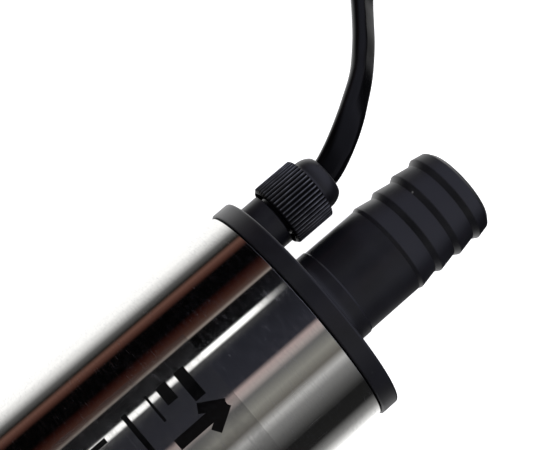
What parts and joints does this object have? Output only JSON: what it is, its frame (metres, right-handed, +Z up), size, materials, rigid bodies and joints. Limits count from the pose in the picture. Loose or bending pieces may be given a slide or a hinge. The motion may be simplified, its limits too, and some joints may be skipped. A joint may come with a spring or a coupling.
{
  "type": "submersible pump",
  "caption": "Slim submersible in-line pump: steel tube, black cap with hose barb and cable gland, brushed motor, impeller, slotted strainer, coiled lead with battery clips.",
  "frame": {"origin": "on the floor under the middle of the pump, which lies on its side; the cable and clips are not counted", "axes": "+X along the pump's axis towards the outlet, +Y towards the cable gland's side, +Z up"},
  "size_m": [0.3734, 0.0922, 0.052],
  "materials": {
    "polished_steel": "mirror-polished stainless steel with fine brushing",
    "plated_steel": "plated or bare steel",
    "brass": "satin brass",
    "copper": "enamelled copper",
    "carbon": "carbon brush",
    "ferrite": "sintered ferrite",
    "black_plastic": "moulded black plastic, fine matt grain",
    "grey_plastic": "moulded grey plastic",
    "white_plastic": "moulded off-white plastic",
    "black_rubber": "nitrile rubber",
    "clear_film": "clear printed film",
    "black_cable": "glossy black PVC sheath",
    "red_plastic": "soft red PVC",
    "black_sleeve": "soft black PVC"
  },
  "bodies": {
    "pump": {"outer_tube": "polished_steel", "top_cap": "black_plastic", "gland_body": "black_plastic", "pump_base": "black_plastic", "cable_tie": "black_plastic", "cap_o_ring": "black_rubber", "gland_bush": "black_rubber", "shaft_seal": "black_rubber", "base_o_ring": "black_rubber", "cable_splitter": "black_rubber", "motor_sleeve": "plated_steel", "motor_can": "plated_steel", "bearing_front": "plated_steel", "brush_spring_a": "plated_steel", "brush_spring_b": "plated_steel", "motor_screw_a": "plated_steel", "motor_screw_b": "plated_steel", "base_screw_1": "plated_steel", "base_screw_2": "plated_steel", "label": "clear_film", "motor_cover": "grey_plastic", "seal_housing": "grey_plastic", "end_bell": "white_plastic", "bearing_rear": "brass", "terminal_a": "brass", "terminal_b": "brass", "brush_holder_a": "brass", "brush_holder_b": "brass", "magnet_a": "ferrite", "magnet_b": "ferrite", "brush_a": "carbon", "brush_b": "carbon", "inner_lead_red": "red_plastic", "lead_red": "red_plastic", "clip_red_fixed_boot": "red_plastic", "inner_lead_black": "black_sleeve", "lead_black": "black_sleeve", "clip_black_fixed_boot": "black_sleeve", "cable": "black_cable", "cable_coil": "black_cable", "cable_tail": "black_cable", "clip_red_fixed_jaw": "plated_steel", "clip_red_pin": "plated_steel", "clip_red_spring": "plated_steel", "clip_black_fixed_jaw": "plated_steel", "clip_black_pin": "plated_steel", "clip_black_spring": "plated_steel"},
    "rotor": {"shaft": "plated_steel", "armature_core": "plated_steel", "windings": "copper", "commutator": "copper", "impeller": "white_plastic", "impeller_nut": "brass"},
    "strainer": {"strainer": "black_plastic"},
    "gland_slip_ring": {"gland_washer": "plated_steel"},
    "gland_nut": {"gland_nut": "black_plastic"},
    "red_clip_jaw": {"clip_red_moving_jaw": "plated_steel", "clip_red_moving_boot": "red_plastic"},
    "black_clip_jaw": {"clip_black_moving_jaw": "plated_steel", "clip_black_moving_boot": "black_sleeve"}
  },
  "joints": [
    {"name": "rotor_spin", "type": "hinge", "parent": "pump", "child": "rotor", "pos_m": [-0.0158, 0, 0.026], "axis": [1, 0, 0], "continuous": true},
    {"name": "strainer_pull", "type": "slide", "parent": "pump", "child": "strainer", "axis": [-1, 0, 0], "range_m": [0, 0.025]},
    {"name": "gland_nut_travel", "type": "slide", "parent": "pump", "child": "gland_slip_ring", "axis": [1, 0, 0], "range_m": [0, 0.0015]},
    {"name": "gland_nut_turn", "type": "hinge", "parent": "gland_slip_ring", "child": "gland_nut", "pos_m": [0.0592, 0.0177, 0.026], "axis": [1, 0, 0], "range_deg": [0, 360]},
    {"name": "red_clip_open", "type": "hinge", "parent": "pump", "child": "red_clip_jaw", "pos_m": [0.2462, 0.003, 0.005], "axis": [0, 0, 1], "range_deg": [0, 20], "stiffness_Nm_per_rad": 0.05, "springref_deg": -28.65},
    {"name": "black_clip_open", "type": "hinge", "parent": "pump", "child": "black_clip_jaw", "pos_m": [0.2734, 0.003, 0.005], "axis": [0, 0, 1], "range_deg": [0, 20], "stiffness_Nm_per_rad": 0.05, "springref_deg": -28.65}
  ],
  "couplings": [
    {"joint": "gland_nut_travel", "follows": "gland_nut_turn", "m_per_rad": 0.00023873}
  ]
}
